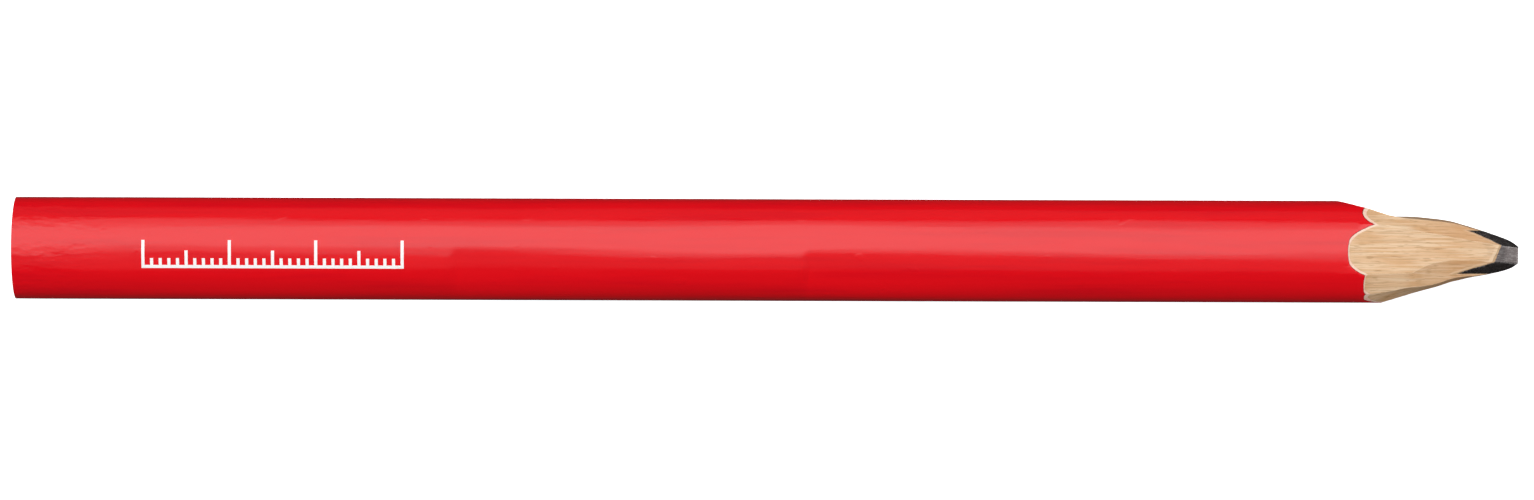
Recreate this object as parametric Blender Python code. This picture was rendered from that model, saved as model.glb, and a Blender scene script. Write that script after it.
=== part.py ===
"""Carpenter pencil: two glued wooden slats, a flat lead, primer, lacquer and a printed scale."""

import math
from dataclasses import dataclass

import bmesh
import bpy

MM = 0.001

LENGTH = 175.0
HALF_WIDTH = 5.95
HALF_THICKNESS = 3.70
FLAT_LAND = 1.6
CROWN = HALF_THICKNESS / math.sqrt(1.0 - (FLAT_LAND / 2.0 / HALF_WIDTH) ** 2)
OVAL_SIDES = 120

FIT_GAP = 0.015
LACQUER_THICKNESS = 0.09
PRIMER_THICKNESS = 0.05
PRINT_THICKNESS = 0.02
GLUE_THICKNESS = 0.05

LEAD_WIDTH = 5.0
LEAD_THICKNESS = 2.0

SCALE_START = 15.1
SCALE_TOP = 0.95
SCALE_BASE = -2.30
SCALE_LINE = 0.36
TICK_STEP = 1.0
TICK_STEPS = 30
SHORT_TICK = 1.15
MIDDLE_TICK = 2.05
LONG_TICK = SCALE_TOP - SCALE_BASE
SCALE_SPAN = TICK_STEPS * TICK_STEP + SCALE_LINE
TICKS_TO_MIDDLE = 5
TICKS_TO_LONG = 10

CUT_REACH = 9.0
CUT_LINES = (-CUT_REACH, -5.0, -4.0, -3.0, -2.0, -1.0, 0.0, 1.0, 2.0, 3.0, 4.0, 5.0, CUT_REACH)
CUT_STEP = 0.6
ENVELOPE_OVERHANG = 1.0
BLANK_LENGTH = LENGTH + ENVELOPE_OVERHANG

SHARP_DEGREES = 25.0


@dataclass(frozen=True)
class Station:
    """Where a cut lies at one place: x from the butt and reach from the axis in mm, roll in degrees."""

    x: float
    reach: float
    roll: float


@dataclass(frozen=True)
class Finish:
    """The colour, roughness and metal share of one sub-part."""

    name: str
    colour: tuple
    roughness: float
    metallic: float


WOOD = Finish("bare_wood", (0.80, 0.55, 0.34), 0.65, 0.0)
GRAPHITE = Finish("graphite", (0.045, 0.04, 0.042), 0.4, 0.0)
GLUE = Finish("dried_glue", (0.70, 0.58, 0.40), 0.45, 0.0)
PRIMER = Finish("primer", (0.90, 0.62, 0.52), 0.6, 0.0)
LACQUER = Finish("red_lacquer", (0.78, 0.012, 0.015), 0.22, 0.0)
PRINT = Finish("white_print", (0.90, 0.90, 0.88), 0.45, 0.0)


# Each cut runs from its shoulder, just outside the barrel, down to the chisel tip.
# Roll is the way the cut faces: 0 is +Y, 90 is straight up, 180 is -Y, 270 is down.
CUTS = {
    "broad_upper": (
        Station(154.65, 3.72, 90.0),
        Station(154.90, 3.56, 90.0),
        Station(155.55, 3.41, 90.0),
        Station(156.55, 3.24, 90.0),
        Station(159.60, 2.81, 90.5),
        Station(164.70, 2.11, 92.0),
        Station(167.75, 1.72, 93.0),
        Station(170.80, 1.31, 94.5),
        Station(173.25, 0.95, 94.6),
        Station(175.00, 0.50, 94.0),
    ),
    "plus_y_corner_upper": (
        Station(156.20, 4.70, 52.4),
        Station(156.60, 4.60, 52.4),
        Station(157.50, 4.43, 53.0),
        Station(159.70, 4.07, 55.0),
        Station(163.70, 3.20, 58.0),
        Station(166.75, 2.58, 60.0),
        Station(169.40, 2.07, 60.0),
        Station(171.55, 1.62, 60.0),
        Station(173.15, 1.22, 60.0),
        Station(175.00, 0.72, 60.0),
    ),
    "plus_y_edge": (
        Station(153.50, 5.90, -10.0),
        Station(155.20, 5.31, -10.0),
        Station(156.95, 4.74, -10.0),
        Station(160.20, 4.16, 0.0),
        Station(163.20, 3.94, 6.0),
        Station(167.00, 3.52, 8.0),
        Station(169.00, 3.00, 8.0),
        Station(171.70, 2.18, 8.0),
        Station(174.30, 1.22, 8.0),
        Station(175.00, 0.72, 8.0),
    ),
    "minus_y_corner_upper": (
        Station(156.55, 4.33, 118.0),
        Station(156.65, 4.17, 118.0),
        Station(157.10, 4.05, 118.0),
        Station(160.10, 3.63, 118.0),
        Station(162.10, 3.32, 117.0),
        Station(163.25, 2.91, 116.5),
        Station(165.00, 2.39, 115.0),
        Station(166.90, 2.03, 113.5),
        Station(169.95, 1.64, 113.5),
        Station(171.95, 1.42, 113.5),
        Station(175.00, 0.94, 113.5),
    ),
    "minus_y_edge_upper": (
        Station(156.65, 5.28, 143.0),
        Station(156.85, 5.17, 143.0),
        Station(157.95, 5.06, 144.0),
        Station(160.10, 4.79, 149.0),
        Station(165.30, 3.80, 159.0),
        Station(167.80, 3.06, 158.0),
        Station(170.30, 2.78, 172.0),
        Station(172.60, 2.33, 172.0),
        Station(174.20, 1.86, 172.0),
        Station(175.00, 1.35, 172.0),
    ),
    "minus_y_edge_lower": (
        Station(157.40, 5.40, 213.0),
        Station(160.20, 4.79, 211.0),
        Station(165.30, 3.80, 205.0),
        Station(167.80, 3.10, 205.0),
        Station(170.30, 2.75, 195.0),
        Station(172.60, 2.35, 190.0),
        Station(174.20, 1.86, 190.0),
        Station(175.00, 1.35, 190.0),
    ),
    "minus_y_corner_lower": (
        Station(155.80, 4.33, 242.0),
        Station(156.30, 4.14, 242.0),
        Station(160.00, 3.60, 242.0),
        Station(165.00, 2.60, 245.0),
        Station(170.00, 1.70, 246.0),
        Station(175.00, 0.90, 246.0),
    ),
    "plus_y_corner_lower": (
        Station(155.90, 4.60, 305.0),
        Station(156.50, 4.44, 305.0),
        Station(160.00, 3.95, 305.0),
        Station(165.00, 3.05, 302.0),
        Station(170.00, 1.98, 300.0),
        Station(175.00, 0.78, 300.0),
    ),
    "broad_lower": (
        Station(154.60, 3.72, 270.0),
        Station(155.00, 3.55, 270.0),
        Station(156.20, 3.36, 269.0),
        Station(160.00, 2.84, 268.0),
        Station(167.00, 1.88, 267.0),
        Station(173.00, 1.00, 267.0),
        Station(175.00, 0.45, 268.0),
    ),
}


def clear_scene():
    """Remove every object of the starting scene."""
    for thing in list(bpy.data.objects):
        bpy.data.objects.remove(thing, do_unlink=True)


def material(finish):
    """A Principled BSDF material with one finish's values."""
    made = bpy.data.materials.new(finish.name)
    made.use_nodes = True
    shader = made.node_tree.nodes["Principled BSDF"]
    shader.inputs["Base Color"].default_value = (*finish.colour, 1.0)
    shader.inputs["Roughness"].default_value = finish.roughness
    shader.inputs["Metallic"].default_value = finish.metallic
    return made


def place(x, y, z):
    """A point given from the butt and the axis, moved so that the barrel lies centred on z = 0."""
    return (x - LENGTH / 2.0, y, z + HALF_THICKNESS)


def solid_from_rings(name, rings):
    """A closed solid through rings of equally many points, capped at both ends."""
    shape = bmesh.new()
    loops = [[shape.verts.new(place(*point)) for point in ring] for ring in rings]
    sides = len(loops[0])
    for near, far in zip(loops, loops[1:]):
        for i in range(sides):
            j = (i + 1) % sides
            shape.faces.new((near[i], near[j], far[j], far[i]))
    shape.faces.new(loops[0])
    shape.faces.new(loops[-1])
    return finished_mesh(name, shape)


def finished_mesh(name, shape):
    """Turn a bmesh into an object with its faces pointing out."""
    bmesh.ops.recalc_face_normals(shape, faces=shape.faces)
    bmesh.ops.triangulate(shape, faces=shape.faces)
    mesh = bpy.data.meshes.new(name)
    shape.to_mesh(mesh)
    shape.free()
    thing = bpy.data.objects.new(name, mesh)
    thing.scale = (MM, MM, MM)
    bpy.context.scene.collection.objects.link(thing)
    return thing


def prism(name, outline, start, end):
    """An outline of (y, z) points carried straight along the pencil."""
    return solid_from_rings(name, [[(x, y, z) for y, z in outline] for x in (start, end)])


def oval(inset):
    """The barrel's oval outline, moved in by a distance, with a narrow flat land on each broad face."""
    turns = [2.0 * math.pi * (i + 0.5) / OVAL_SIDES for i in range(OVAL_SIDES)]
    land = HALF_THICKNESS - inset
    return [
        (
            (HALF_WIDTH - inset) * math.cos(turn),
            min(max((CROWN - inset) * math.sin(turn), -land), land),
        )
        for turn in turns
    ]


def tube(name, outer_inset, inner_inset, start, end):
    """An oval tube, open at both ends, with square cut walls."""
    outer = oval(outer_inset)
    inner = oval(inner_inset)
    shape = bmesh.new()
    corners = [
        [shape.verts.new(place(x, y, z)) for y, z in outline]
        for outline, x in ((outer, start), (outer, end), (inner, end), (inner, start))
    ]
    for near, far in zip(corners, corners[1:] + corners[:1]):
        for i in range(OVAL_SIDES):
            j = (i + 1) % OVAL_SIDES
            shape.faces.new((near[i], near[j], far[j], far[i]))
    return finished_mesh(name, shape)


def hide(cutter):
    """Mark an object as a helper that is never rendered."""
    cutter.hide_render = True
    cutter.display_type = "WIRE"


def combine(target, helper, operation):
    """Apply one exact Boolean between two closed meshes, through a live modifier."""
    hide(helper)
    change = target.modifiers.new(helper.name, "BOOLEAN")
    change.operation = operation
    change.solver = "EXACT"
    change.object = helper


def smoothed(stations, x):
    """Reach and roll between stations, on curves that never overshoot them."""
    places = [s.x for s in stations]
    k = max(i for i in range(len(places) - 1) if places[i] <= x or i == 0)
    span = places[k + 1] - places[k]
    t = min(max((x - places[k]) / span, 0.0), 1.0)
    values = []
    for track in ([s.reach for s in stations], [s.roll for s in stations]):
        here, there = track[k], track[k + 1]
        out = slope_at(places, track, k) * span
        back = slope_at(places, track, k + 1) * span
        values.append(
            (2 * t**3 - 3 * t**2 + 1) * here
            + (t**3 - 2 * t**2 + t) * out
            + (3 * t**2 - 2 * t**3) * there
            + (t**3 - t**2) * back
        )
    return values


def slope_at(places, track, k):
    """The slope of a monotone curve at one of its stations."""
    rises = [
        (track[i + 1] - track[i]) / (places[i + 1] - places[i])
        for i in range(max(k - 1, 0), min(k + 1, len(places) - 1))
    ]
    if len(rises) == 1:
        return rises[0]
    before, after = rises
    if before * after <= 0.0:
        return 0.0
    return 2.0 * before * after / (before + after)


def cut_section(x, reach, roll):
    """One cross-section of a cut: everything beyond a straight line at this reach and roll."""
    angle = math.radians(roll)
    facing = (math.cos(angle), math.sin(angle))
    along = (-facing[1], facing[0])
    corners = [(reach, side) for side in CUT_LINES]
    corners += [(reach + CUT_REACH, CUT_LINES[-1]), (reach + CUT_REACH, CUT_LINES[0])]
    return [
        (x, out * facing[0] + side * along[0], out * facing[1] + side * along[1])
        for out, side in corners
    ]


def sharpening_cut(name, stations):
    """The material that one stroke of the sharpener takes away."""
    steps = math.ceil((stations[-1].x - stations[0].x) / CUT_STEP)
    spread = [stations[0].x + (stations[-1].x - stations[0].x) * i / steps for i in range(steps)]
    spots = sorted({round(x, 3) for x in spread} | {s.x for s in stations})
    rings = [cut_section(x, *smoothed(stations, x)) for x in spots]
    last = stations[-1]
    rings.append(cut_section(last.x + ENVELOPE_OVERHANG, last.reach, last.roll))
    return solid_from_rings(name, rings)


def sharpened_envelope():
    """A block that holds the whole pencil, with every sharpening cut taken off its far end."""
    side = CUT_REACH - ENVELOPE_OVERHANG
    outline = [(-side, -side), (side, -side), (side, side), (-side, side)]
    block = prism("envelope", outline, -ENVELOPE_OVERHANG, LENGTH)
    for name, stations in CUTS.items():
        combine(block, sharpening_cut("cut_" + name, stations), "DIFFERENCE")
    hide(block)
    return block


def wood_inset():
    """How far the wood lies under the barrel's outer face."""
    return LACQUER_THICKNESS + FIT_GAP + PRIMER_THICKNESS + FIT_GAP


def slat(name, side):
    """One wooden half: side is 1 for the upper and -1 for the lower."""
    seam = GLUE_THICKNESS / 2.0 + FIT_GAP
    groove_half = LEAD_WIDTH / 2.0 + FIT_GAP + GLUE_THICKNESS + FIT_GAP
    groove_top = LEAD_THICKNESS / 2.0 + FIT_GAP + GLUE_THICKNESS + FIT_GAP
    arc = [(y, z) for y, z in oval(wood_inset()) if z > seam]
    half_width = HALF_WIDTH - wood_inset()
    half_height = CROWN - wood_inset()
    seam_y = half_width * math.sqrt(1.0 - (seam / half_height) ** 2)
    outline = [
        (seam_y, seam),
        *arc,
        (-seam_y, seam),
        (-groove_half, seam),
        (-groove_half, groove_top),
        (groove_half, groove_top),
        (groove_half, seam),
    ]
    return prism(name, [(y, side * z) for y, z in outline], 0.0, BLANK_LENGTH)


def glue_film():
    """The glue: a thin sleeve round the lead with a wing along each seam."""
    seam = GLUE_THICKNESS / 2.0
    sleeve_half = LEAD_WIDTH / 2.0 + FIT_GAP + GLUE_THICKNESS
    sleeve_top = LEAD_THICKNESS / 2.0 + FIT_GAP + GLUE_THICKNESS
    edge = HALF_WIDTH - wood_inset()
    outline = [
        (edge, -seam),
        (edge, seam),
        (sleeve_half, seam),
        (sleeve_half, sleeve_top),
        (-sleeve_half, sleeve_top),
        (-sleeve_half, seam),
        (-edge, seam),
        (-edge, -seam),
        (-sleeve_half, -seam),
        (-sleeve_half, -sleeve_top),
        (sleeve_half, -sleeve_top),
        (sleeve_half, -seam),
    ]
    film = prism("glue_film", outline, 0.0, BLANK_LENGTH)
    hole = rectangle(LEAD_WIDTH / 2.0 + FIT_GAP, LEAD_THICKNESS / 2.0 + FIT_GAP)
    room = prism("lead_room", hole, -ENVELOPE_OVERHANG, BLANK_LENGTH + ENVELOPE_OVERHANG)
    combine(film, room, "DIFFERENCE")
    return film


def rectangle(half_width, half_height):
    """A rectangle about the axis, as (y, z) points."""
    return [
        (-half_width, -half_height),
        (half_width, -half_height),
        (half_width, half_height),
        (-half_width, half_height),
    ]


def lead():
    """The flat lead."""
    outline = rectangle(LEAD_WIDTH / 2.0, LEAD_THICKNESS / 2.0)
    return prism("graphite_lead", outline, 0.0, BLANK_LENGTH)


def tick_length(count):
    """How tall the tick after this many steps stands."""
    if count % TICKS_TO_LONG == 0:
        return LONG_TICK
    if count % TICKS_TO_MIDDLE == 0:
        return MIDDLE_TICK
    return SHORT_TICK


def scale_outline():
    """The outline of the printed scale in (x, y): a base line with ticks standing on it."""
    top_of_line = SCALE_BASE + SCALE_LINE
    points = [(SCALE_START + SCALE_SPAN, SCALE_BASE), (SCALE_START, SCALE_BASE)]
    for i in range(TICK_STEPS + 1):
        left = SCALE_START + i * TICK_STEP
        right = left + SCALE_LINE
        tip = SCALE_BASE + tick_length(i)
        if i > 0:
            points.append((left, top_of_line))
        points += [(left, tip), (right, tip)]
        if i < TICK_STEPS:
            points.append((right, top_of_line))
    return points


def scale_print():
    """The white scale, a film that follows the lacquer's curve on the broad upper face."""
    outline = scale_outline()
    stencil = solid_from_rings(
        "scale_stencil",
        [[(x, y, z) for x, y in outline] for z in (HALF_THICKNESS / 2.0, HALF_THICKNESS * 2.0)],
    )
    film = tube(
        "scale_print",
        -FIT_GAP - PRINT_THICKNESS,
        -FIT_GAP,
        SCALE_START - ENVELOPE_OVERHANG,
        SCALE_START + SCALE_SPAN + ENVELOPE_OVERHANG,
    )
    combine(film, stencil, "INTERSECT")
    return film


def shade_smooth(thing):
    """Smooth the round faces and keep the cut edges crisp."""
    thing.data.shade_smooth()
    thing.data.set_sharp_from_angle(angle=math.radians(SHARP_DEGREES))


def main():
    """Build every sub-part, sharpen those that reach the point, and dress them."""
    clear_scene()
    envelope = sharpened_envelope()
    outer_coat = LACQUER_THICKNESS
    under_coat = outer_coat + FIT_GAP
    sharpened = (
        (slat("upper_slat", 1), WOOD),
        (slat("lower_slat", -1), WOOD),
        (lead(), GRAPHITE),
        (glue_film(), GLUE),
        (tube("primer_coat", under_coat, under_coat + PRIMER_THICKNESS, 0.0, BLANK_LENGTH), PRIMER),
        (tube("red_lacquer", 0.0, outer_coat, 0.0, BLANK_LENGTH), LACQUER),
    )
    for thing, finish in sharpened:
        combine(thing, envelope, "INTERSECT")
        thing.data.materials.append(material(finish))
        shade_smooth(thing)
    film = scale_print()
    film.data.materials.append(material(PRINT))
    shade_smooth(film)


main()
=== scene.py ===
"""A flat-oval carpenter pencil, dressed for a studio picture.

The pencil lies on a broad face: +X runs to the point, +Y across, +Z up. Shapes are cut in millimetres
from the butt and the axis, then laid on the floor in metres by `Bench.lay_down`.
"""

import logging
import math
import random
from dataclasses import dataclass, field
from enum import Enum
from typing import Sequence

import bpy
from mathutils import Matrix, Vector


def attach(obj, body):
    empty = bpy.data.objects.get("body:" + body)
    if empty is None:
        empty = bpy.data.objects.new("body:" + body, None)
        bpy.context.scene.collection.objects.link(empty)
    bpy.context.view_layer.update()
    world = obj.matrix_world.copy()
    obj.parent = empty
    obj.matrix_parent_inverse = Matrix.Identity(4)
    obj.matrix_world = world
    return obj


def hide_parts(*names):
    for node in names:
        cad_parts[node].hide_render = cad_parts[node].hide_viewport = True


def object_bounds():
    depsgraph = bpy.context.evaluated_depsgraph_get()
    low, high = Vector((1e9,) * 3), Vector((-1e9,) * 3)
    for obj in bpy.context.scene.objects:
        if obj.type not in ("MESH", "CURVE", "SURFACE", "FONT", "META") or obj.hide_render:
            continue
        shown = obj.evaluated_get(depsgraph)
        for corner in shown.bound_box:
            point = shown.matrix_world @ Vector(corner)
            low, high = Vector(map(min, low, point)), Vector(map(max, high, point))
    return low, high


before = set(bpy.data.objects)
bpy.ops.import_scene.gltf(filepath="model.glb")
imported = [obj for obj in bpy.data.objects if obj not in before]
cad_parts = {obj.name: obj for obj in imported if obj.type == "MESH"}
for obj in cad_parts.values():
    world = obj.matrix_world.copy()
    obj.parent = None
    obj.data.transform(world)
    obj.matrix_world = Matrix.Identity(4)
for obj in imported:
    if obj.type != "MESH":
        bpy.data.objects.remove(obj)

LOG = logging.getLogger("carpenter_pencil")

Thing = bpy.types.Object
Material = bpy.types.Material
Socket = bpy.types.NodeSocket
Triple = tuple[float, float, float]

MM = 0.001
FRAME_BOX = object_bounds()
LENGTH = (FRAME_BOX[1].x - FRAME_BOX[0].x) / MM
AXIS_HEIGHT = 3.70
END_ROOM = 0.002
KNIFE_SEED = 11
RIGHT_HAND = -1.0
WAVE_UNITS = 20.0
RING_DETAIL = 2.0
CORNER_SAMPLES = 6
MERGE = 0.0004
NEARLY = 0.0001
COLOUR_A, COLOUR_B, COLOUR_OUT = 6, 7, 2


class Cut(Enum):
    """How a Boolean joins two closed shapes."""

    TAKE_OFF = "DIFFERENCE"
    KEEP_COMMON = "INTERSECT"
    JOIN = "UNION"


class Bench:
    """The few hand tools that every piece is made with."""

    @staticmethod
    def clear() -> None:
        """Leave object mode with nothing selected."""
        if bpy.context.object and bpy.context.object.mode != "OBJECT":
            bpy.ops.object.mode_set(mode="OBJECT")
        bpy.ops.object.select_all(action="DESELECT")

    @staticmethod
    def take_up(thing: Thing) -> None:
        """Select one object alone and make it active.

        Args:
            thing: The object to work on.
        """
        Bench.clear()
        thing.select_set(True)
        bpy.context.view_layer.objects.active = thing

    @staticmethod
    def throw_away(*things: Thing) -> None:
        """Remove helpers that have done their work."""
        for thing in things:
            bpy.data.objects.remove(thing, do_unlink=True)

    @staticmethod
    def edit_all(thing: Thing) -> None:
        """Enter edit mode with all of the mesh selected.

        Args:
            thing: The object to edit.
        """
        Bench.take_up(thing)
        bpy.ops.object.mode_set(mode="EDIT")
        bpy.ops.mesh.select_all(action="SELECT")

    @staticmethod
    def tidy(thing: Thing) -> None:
        """Merge doubled points and turn the faces outwards.

        Args:
            thing: The mesh to clean, in mm.
        """
        Bench.edit_all(thing)
        bpy.ops.mesh.remove_doubles(threshold=MERGE)
        bpy.ops.mesh.dissolve_degenerate(threshold=MERGE)
        bpy.ops.mesh.normals_make_consistent(inside=False)
        bpy.ops.object.mode_set(mode="OBJECT")

    @staticmethod
    def boolean(target: Thing, tool: Thing, cut: Cut) -> None:
        """Cut or join one closed shape with another, and apply it.

        Args:
            target: The shape that changes.
            tool: The shape it is cut or joined with.
            cut: What the Boolean does.
        """
        Bench.take_up(target)
        step = target.modifiers.new("cut", "BOOLEAN")
        step.operation = cut.value
        step.solver = "EXACT"
        step.object = tool
        bpy.ops.object.modifier_apply(modifier=step.name)

    @staticmethod
    def box(name: str, low: Sequence[float], high: Sequence[float]) -> Thing:
        """A box between two corners, in mm.

        Args:
            name: The object's name.
            low: The lowest corner.
            high: The highest corner.

        Returns:
            The box.
        """
        Bench.clear()
        middle = [(a + b) / 2.0 for a, b in zip(low, high)]
        bpy.ops.mesh.primitive_cube_add(size=1.0, location=(0.0, 0.0, 0.0))
        made = bpy.context.object
        made.name = name
        Bench.edit_all(made)
        bpy.ops.transform.resize(value=[b - a for a, b in zip(low, high)])
        bpy.ops.transform.translate(value=middle)
        bpy.ops.object.mode_set(mode="OBJECT")
        return made

    @staticmethod
    def lay_down(thing: Thing, sharp_degrees: float) -> None:
        """Bring a piece from mm about its axis to metres on the floor, and shade it.

        Args:
            thing: The finished shape.
            sharp_degrees: Edges that turn more than this stay crisp.
        """
        Bench.take_up(thing)
        thing.scale = (MM, MM, MM)
        thing.location = (-LENGTH / 2.0 * MM, 0.0, AXIS_HEIGHT * MM)
        bpy.ops.object.transform_apply(location=True, rotation=True, scale=True)
        bpy.ops.object.shade_smooth_by_angle(angle=math.radians(sharp_degrees))


# ---------------------------------------------------------------- finishes


class Board:
    """A material's node tree, with short ways to place the nodes that the finishes share."""

    def __init__(self, name: str) -> None:
        """Start a material with a lone Principled BSDF.

        Args:
            name: The material's name.
        """
        self.material = bpy.data.materials.new(name)
        self.material.use_nodes = True
        self.tree = self.material.node_tree
        self.shader = self.tree.nodes["Principled BSDF"]
        self.place = self.tree.nodes.new("ShaderNodeTexCoord").outputs["Object"]

    def set(self, **values: float) -> None:
        """Set the shader's own sockets, underscores standing for spaces."""
        for name, value in values.items():
            self.shader.inputs[name.replace("_", " ")].default_value = value

    def feed(self, socket: Socket, name: str) -> None:
        """Drive one of the shader's sockets with an output."""
        self.tree.links.new(socket, self.shader.inputs[name])

    def stretch(
        self, scale: Sequence[float], turn: Sequence[float] = (0.0, 0.0, 0.0),
        shift: Sequence[float] = (0.0, 0.0, 0.0),
    ) -> Socket:
        """The object's own coordinates, scaled per metre.

        Args:
            scale: How many pattern units fit in a metre along each axis.
            turn: Rotation in degrees.
            shift: An offset in pattern units.

        Returns:
            The vector output.
        """
        node = self.tree.nodes.new("ShaderNodeMapping")
        node.inputs["Scale"].default_value = scale
        node.inputs["Rotation"].default_value = [math.radians(a) for a in turn]
        node.inputs["Location"].default_value = shift
        self.tree.links.new(self.place, node.inputs["Vector"])
        return node.outputs["Vector"]

    def noise(self, vector: Socket, detail: float = 3.0, roughness: float = 0.5) -> Socket:
        """A soft random pattern with one cell to the unit.

        Args:
            vector: Where to read it.
            detail: Octaves.
            roughness: How strong the finer octaves are.

        Returns:
            A value around a half.
        """
        node = self.tree.nodes.new("ShaderNodeTexNoise")
        node.inputs["Scale"].default_value = 1.0
        node.inputs["Detail"].default_value = detail
        node.inputs["Roughness"].default_value = roughness
        self.tree.links.new(vector, node.inputs["Vector"])
        return node.outputs["Fac"]

    def rings(self, vector: Socket, spacing: float, wander: float, wander_scale: float) -> Socket:
        """Growth rings about the X axis of a pattern space.

        Args:
            vector: Where to read them.
            spacing: The distance between rings, in pattern units.
            wander: How far the rings stray.
            wander_scale: How quickly they stray.

        Returns:
            A wave from 0 to 1.
        """
        node = self.tree.nodes.new("ShaderNodeTexWave")
        node.wave_type = "RINGS"
        node.rings_direction = "X"
        node.inputs["Scale"].default_value = 2.0 * math.pi / (WAVE_UNITS * spacing)
        node.inputs["Distortion"].default_value = wander
        node.inputs["Detail"].default_value = RING_DETAIL
        node.inputs["Detail Scale"].default_value = wander_scale
        self.tree.links.new(vector, node.inputs["Vector"])
        return node.outputs["Fac"]

    def edges(self, radius_mm: float, least: float, most: float) -> Socket:
        """Where the surface turns a corner.

        Args:
            radius_mm: How far from the corner it reaches, in mm.
            least: The turn that starts to count, as one less the cosine.
            most: The turn that counts fully.

        Returns:
            A mask from 0 to 1.
        """
        rounded = self.tree.nodes.new("ShaderNodeBevel")
        rounded.samples = CORNER_SAMPLES
        rounded.inputs["Radius"].default_value = radius_mm * MM
        true = self.tree.nodes.new("ShaderNodeNewGeometry")
        meet = self.tree.nodes.new("ShaderNodeVectorMath")
        meet.operation = "DOT_PRODUCT"
        self.tree.links.new(rounded.outputs["Normal"], meet.inputs[0])
        self.tree.links.new(true.outputs["True Normal"], meet.inputs[1])
        return self.span(meet.outputs["Value"], 1.0 - most, 1.0 - least, 1.0, 0.0)

    def sideways(self, least: float, most: float) -> Socket:
        """Where the surface looks to +Y or -Y.

        Args:
            least: The share of Y in the normal that starts to count.
            most: The share that counts fully.

        Returns:
            A mask from 0 to 1.
        """
        true = self.tree.nodes.new("ShaderNodeNewGeometry")
        share = self.sum("ABSOLUTE", self.split(true.outputs["True Normal"])["Y"], 0.0)
        return self.span(share, least, most)

    def split(self, vector: Socket) -> bpy.types.NodeOutputs:
        """A vector's X, Y and Z.

        Args:
            vector: The vector to take apart.

        Returns:
            Its three outputs.
        """
        node = self.tree.nodes.new("ShaderNodeSeparateXYZ")
        self.tree.links.new(vector, node.inputs["Vector"])
        return node.outputs

    def span(
        self, value: Socket, low: float, high: float, to_low: float = 0.0,
        to_high: float = 1.0,
    ) -> Socket:
        """A value carried from one range to another and held at the ends.

        Args:
            value: The value to carry over.
            low: Where the first range starts.
            high: Where the first range ends.
            to_low: What the start becomes.
            to_high: What the end becomes.

        Returns:
            The carried value.
        """
        node = self.tree.nodes.new("ShaderNodeMapRange")
        node.interpolation_type = "SMOOTHSTEP"
        node.inputs["From Min"].default_value = low
        node.inputs["From Max"].default_value = high
        node.inputs["To Min"].default_value = to_low
        node.inputs["To Max"].default_value = to_high
        self.tree.links.new(value, node.inputs["Value"])
        return node.outputs["Result"]

    def butt_span(self, start_mm: float, end_mm: float, to_start: float, to_end: float) -> Socket:
        """A value that changes along the pencil.

        Args:
            start_mm: Where the change starts, from the butt.
            end_mm: Where it ends.
            to_start: The value up to the start.
            to_end: The value beyond the end.

        Returns:
            The value.
        """
        along = self.split(self.place)["X"]
        half = LENGTH / 2.0
        return self.span(along, (start_mm - half) * MM, (end_mm - half) * MM, to_start, to_end)

    def sum(self, kind: str, a: Socket, b: object) -> Socket:
        """One sum between a value and another value or number.

        Args:
            kind: Blender's name of the sum, such as MULTIPLY.
            a: The first value.
            b: The second value, or a number.

        Returns:
            The result.
        """
        node = self.tree.nodes.new("ShaderNodeMath")
        node.operation = kind
        self.tree.links.new(a, node.inputs[0])
        if isinstance(b, (int, float)):
            node.inputs[1].default_value = b
        else:
            self.tree.links.new(b, node.inputs[1])
        return node.outputs[0]

    def tint(self, amount: Socket, under: object, over: object) -> Socket:
        """One colour laid over another.

        Args:
            amount: How much of the upper colour shows.
            under: The lower colour, or an output that carries it.
            over: The upper colour, or an output that carries it.

        Returns:
            The mixed colour.
        """
        node = self.tree.nodes.new("ShaderNodeMix")
        node.data_type = "RGBA"
        self.tree.links.new(amount, node.inputs["Factor"])
        for value, socket in ((under, node.inputs[COLOUR_A]), (over, node.inputs[COLOUR_B])):
            if isinstance(value, Socket):
                self.tree.links.new(value, socket)
            else:
                socket.default_value = (*value, 1.0)
        return node.outputs[COLOUR_OUT]

    def relief(
        self, height: Socket, depth_mm: float, strength: float = 1.0,
        over: Socket | None = None,
    ) -> Socket:
        """A bump from a height pattern.

        Args:
            height: The pattern, from 0 to 1.
            depth_mm: How far it stands, in mm.
            strength: How much of it is used.
            over: A relief to add it to.

        Returns:
            The bent normal.
        """
        node = self.tree.nodes.new("ShaderNodeBump")
        node.inputs["Strength"].default_value = strength
        node.inputs["Distance"].default_value = depth_mm * MM
        self.tree.links.new(height, node.inputs["Height"])
        if over is not None:
            self.tree.links.new(over, node.inputs["Normal"])
        return node.outputs["Normal"]


@dataclass(frozen=True)
class Lap:
    """A place where a second dip of lacquer starts: the crown steps in, then eases out again.

    Attributes:
        start: Where it starts, from the butt, in mm.
        end: Where it has eased out.
        step_in: How far the crown steps in, as a share of the crease.
        ease_out: How far it eases out again.
    """

    start: float
    end: float
    step_in: float
    ease_out: float


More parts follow.
